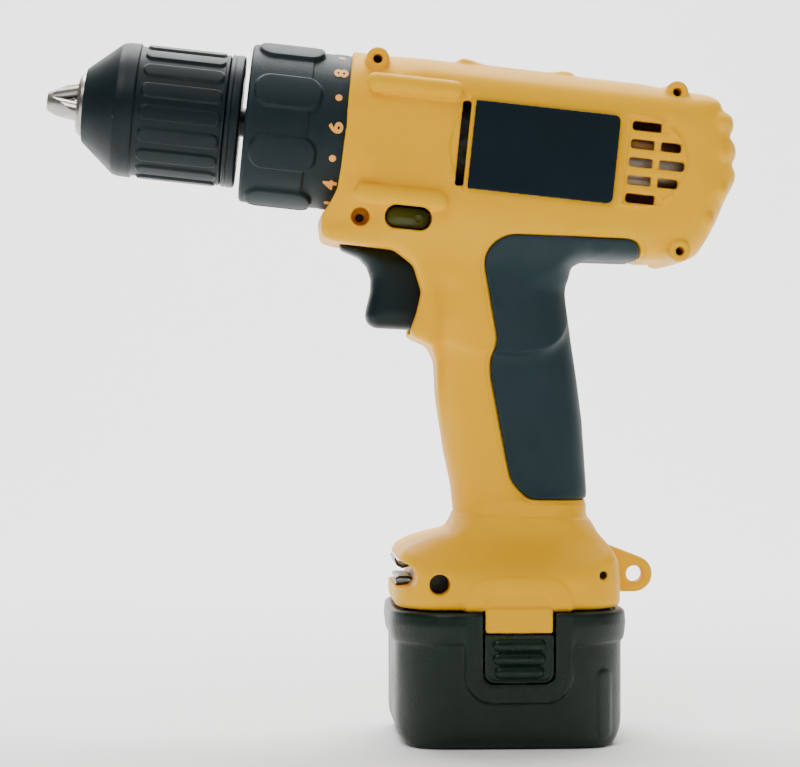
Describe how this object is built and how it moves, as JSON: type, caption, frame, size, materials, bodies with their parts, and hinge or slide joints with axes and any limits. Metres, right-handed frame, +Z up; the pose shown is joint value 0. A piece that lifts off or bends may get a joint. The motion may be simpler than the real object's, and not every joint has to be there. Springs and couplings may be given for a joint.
{
  "type": "cordless drill",
  "caption": "Pistol-grip cordless drill with keyless chuck, numbered torque collar, planetary gearbox, trigger, rubber grip and a slide-off battery it stands on.",
  "frame": {"origin": "middle of the battery's flat base, where the drill stands", "axes": "+Z up, chuck towards -X, the housing halves meet on the plane Y = 0"},
  "size_m": [0.2288, 0.0804, 0.2304],
  "materials": {
    "yellow_shell": "moulded, semi-gloss with fine texture",
    "grip_rubber": "soft matt overmould",
    "label_film": "blank gloss plate",
    "black_plastic": "moulded, satin",
    "gloss_button": "polished",
    "battery_plastic": "moulded, spark-eroded grain",
    "steel": "machined",
    "zinc_screw": "zinc plated",
    "sintered_steel": "sintered, oiled",
    "magnet": "ferrite",
    "brass": "machined",
    "gear_case": "glass-filled nylon",
    "cell": "cell can",
    "wire": "insulated lead"
  },
  "bodies": {
    "housing": {"housing_left": "yellow_shell", "housing_right": "yellow_shell", "grip_left": "grip_rubber", "grip_right": "grip_rubber", "label_left": "label_film", "label_right": "label_film", "housing_screws": "zinc_screw", "spindle_bearing": "sintered_steel", "clutch_spring": "steel", "clutch_washer": "steel", "clutch_balls": "steel", "gearbox_case": "gear_case", "ring_gear_1": "sintered_steel", "ring_gear_3": "sintered_steel", "motor_plate": "zinc_screw", "motor_can": "zinc_screw", "magnets": "magnet", "brush_holders": "brass", "rear_bearing": "brass", "trigger_spring": "steel", "switch_body": "gear_case", "terminal_block": "gear_case", "wires": "wire", "bit_clips": "steel"},
    "armature": {"armature": "steel", "commutator": "brass", "pinion": "brass"},
    "carrier_1": {"carrier_1": "sintered_steel"},
    "carrier_2": {"carrier_2": "sintered_steel"},
    "spindle": {"spindle": "steel", "output_carrier": "sintered_steel", "chuck_body": "steel", "chuck_rear_ring": "black_plastic", "chuck_screw": "zinc_screw"},
    "sleeve": {"chuck_sleeve": "black_plastic", "chuck_nut": "sintered_steel"},
    "collar": {"torque_collar": "black_plastic"},
    "clutch_nut": {"clutch_nut": "brass"},
    "speed_selector": {"gear_selector": "black_plastic", "speed_ring": "sintered_steel"},
    "trigger": {"trigger": "black_plastic"},
    "direction_button": {"direction_button": "gloss_button"},
    "battery": {"battery_case": "battery_plastic", "battery_cover": "battery_plastic", "battery_cells": "cell", "battery_screws": "zinc_screw"},
    "release_left": {"release_button_left": "battery_plastic"},
    "release_right": {"release_button_right": "battery_plastic"},
    "jaw_1": {"jaw_1": "steel"},
    "planet_1a": {"planet_1a": "sintered_steel"},
    "planet_1b": {"planet_1b": "sintered_steel"},
    "planet_1c": {"planet_1c": "sintered_steel"},
    "jaw_2": {"jaw_2": "steel"},
    "planet_2a": {"planet_2a": "sintered_steel"},
    "planet_2b": {"planet_2b": "sintered_steel"},
    "planet_2c": {"planet_2c": "sintered_steel"},
    "jaw_3": {"jaw_3": "steel"},
    "planet_3a": {"planet_3a": "sintered_steel"},
    "planet_3b": {"planet_3b": "sintered_steel"},
    "planet_3c": {"planet_3c": "sintered_steel"}
  },
  "joints": [
    {"name": "motor_spin", "type": "hinge", "parent": "housing", "child": "armature", "pos_m": [0.02984, 0, 0.19136], "axis": [0.9945, 0, -0.1045], "continuous": true},
    {"name": "carrier_1_spin", "type": "hinge", "parent": "housing", "child": "carrier_1", "pos_m": [0, 0, 0.1945], "axis": [0.9945, 0, -0.1045], "continuous": true},
    {"name": "planet_1a_spin", "type": "hinge", "parent": "carrier_1", "child": "planet_1a", "pos_m": [0.00418, 0, 0.18162], "axis": [0.9945, 0, -0.1045], "continuous": true},
    {"name": "planet_1b_spin", "type": "hinge", "parent": "carrier_1", "child": "planet_1b", "pos_m": [0.00612, 0.01072, 0.20008], "axis": [0.9945, 0, -0.1045], "continuous": true},
    {"name": "planet_1c_spin", "type": "hinge", "parent": "carrier_1", "child": "planet_1c", "pos_m": [0.00612, -0.01072, 0.20008], "axis": [0.9945, 0, -0.1045], "continuous": true},
    {"name": "carrier_2_spin", "type": "hinge", "parent": "housing", "child": "carrier_2", "pos_m": [-0.01144, 0, 0.1957], "axis": [0.9945, 0, -0.1045], "continuous": true},
    {"name": "planet_2a_spin", "type": "hinge", "parent": "carrier_2", "child": "planet_2a", "pos_m": [-0.00726, 0, 0.18282], "axis": [0.9945, 0, -0.1045], "continuous": true},
    {"name": "planet_2b_spin", "type": "hinge", "parent": "carrier_2", "child": "planet_2b", "pos_m": [-0.00532, 0.01072, 0.20128], "axis": [0.9945, 0, -0.1045], "continuous": true},
    {"name": "planet_2c_spin", "type": "hinge", "parent": "carrier_2", "child": "planet_2c", "pos_m": [-0.00532, -0.01072, 0.20128], "axis": [0.9945, 0, -0.1045], "continuous": true},
    {"name": "spindle_spin", "type": "hinge", "parent": "housing", "child": "spindle", "pos_m": [-0.02287, 0, 0.1969], "axis": [0.9945, 0, -0.1045], "continuous": true},
    {"name": "planet_3a_spin", "type": "hinge", "parent": "spindle", "child": "planet_3a", "pos_m": [-0.0187, 0, 0.18402], "axis": [0.9945, 0, -0.1045], "continuous": true},
    {"name": "planet_3b_spin", "type": "hinge", "parent": "spindle", "child": "planet_3b", "pos_m": [-0.01676, 0.01072, 0.20248], "axis": [0.9945, 0, -0.1045], "continuous": true},
    {"name": "planet_3c_spin", "type": "hinge", "parent": "spindle", "child": "planet_3c", "pos_m": [-0.01676, -0.01072, 0.20248], "axis": [0.9945, 0, -0.1045], "continuous": true},
    {"name": "sleeve_turn", "type": "hinge", "parent": "spindle", "child": "sleeve", "pos_m": [-0.1094, 0, 0.206], "axis": [-0.9945, 0, 0.1045], "range_deg": [0, 2970]},
    {"name": "jaw_1_slide", "type": "slide", "parent": "spindle", "child": "jaw_1", "axis": [0.9471, 0.2241, -0.2297], "range_m": [0, 0.0166]},
    {"name": "jaw_2_slide", "type": "slide", "parent": "spindle", "child": "jaw_2", "axis": [0.9877, 0, 0.1564], "range_m": [0, 0.0166]},
    {"name": "jaw_3_slide", "type": "slide", "parent": "spindle", "child": "jaw_3", "axis": [0.9471, -0.2241, -0.2297], "range_m": [0, 0.0166]},
    {"name": "collar_turn", "type": "hinge", "parent": "housing", "child": "collar", "pos_m": [-0.06962, 0, 0.20182], "axis": [0.9945, 0, -0.1045], "range_deg": [-202.5, 135]},
    {"name": "clutch_nut_slide", "type": "slide", "parent": "housing", "child": "clutch_nut", "axis": [0.9945, 0, -0.1045], "range_m": [-0.0017, 0.0012], "deforming": ["clutch_spring"]},
    {"name": "speed_slide", "type": "slide", "parent": "housing", "child": "speed_selector", "axis": [0.9945, 0, -0.1045], "range_m": [0, 0.0035]},
    {"name": "trigger_pull", "type": "slide", "parent": "housing", "child": "trigger", "axis": [0.9945, 0, -0.1045], "range_m": [0, 0.0065], "stiffness_N_per_m": 600, "springref_m": -0.003, "deforming": ["trigger_spring"]},
    {"name": "direction_slide", "type": "slide", "parent": "housing", "child": "direction_button", "axis": [0, 1, 0], "range_m": [-0.0025, 0.0025]},
    {"name": "battery_slide", "type": "slide", "parent": "housing", "child": "battery", "axis": [0, 0, -1], "range_m": [0, 0.065]},
    {"name": "release_left_press", "type": "slide", "parent": "battery", "child": "release_left", "axis": [0, 1, 0], "range_m": [0, 0.0025], "stiffness_N_per_m": 2000, "springref_m": -0.001},
    {"name": "release_right_press", "type": "slide", "parent": "battery", "child": "release_right", "axis": [0, -1, 0], "range_m": [0, 0.0025], "stiffness_N_per_m": 2000, "springref_m": -0.001}
  ],
  "couplings": [
    {"joint": "carrier_1_spin", "follows": "motor_spin", "ratio": 0.27273},
    {"joint": "planet_1a_spin", "follows": "motor_spin", "ratio": -0.87273},
    {"joint": "planet_1b_spin", "follows": "motor_spin", "ratio": -0.87273},
    {"joint": "planet_1c_spin", "follows": "motor_spin", "ratio": -0.87273},
    {"joint": "carrier_2_spin", "follows": "motor_spin", "ratio": 0.07438},
    {"joint": "planet_2a_spin", "follows": "motor_spin", "ratio": -0.23802},
    {"joint": "planet_2b_spin", "follows": "motor_spin", "ratio": -0.23802},
    {"joint": "planet_2c_spin", "follows": "motor_spin", "ratio": -0.23802},
    {"joint": "spindle_spin", "follows": "motor_spin", "ratio": 0.020285},
    {"joint": "planet_3a_spin", "follows": "motor_spin", "ratio": -0.064914},
    {"joint": "planet_3b_spin", "follows": "motor_spin", "ratio": -0.064914},
    {"joint": "planet_3c_spin", "follows": "motor_spin", "ratio": -0.064914},
    {"joint": "jaw_1_slide", "follows": "sleeve_turn", "m_per_rad": 0.00031831},
    {"joint": "jaw_2_slide", "follows": "sleeve_turn", "m_per_rad": 0.00031831},
    {"joint": "jaw_3_slide", "follows": "sleeve_turn", "m_per_rad": 0.00031831},
    {"joint": "clutch_nut_slide", "follows": "collar_turn", "m_per_rad": 0.00047746}
  ]
}
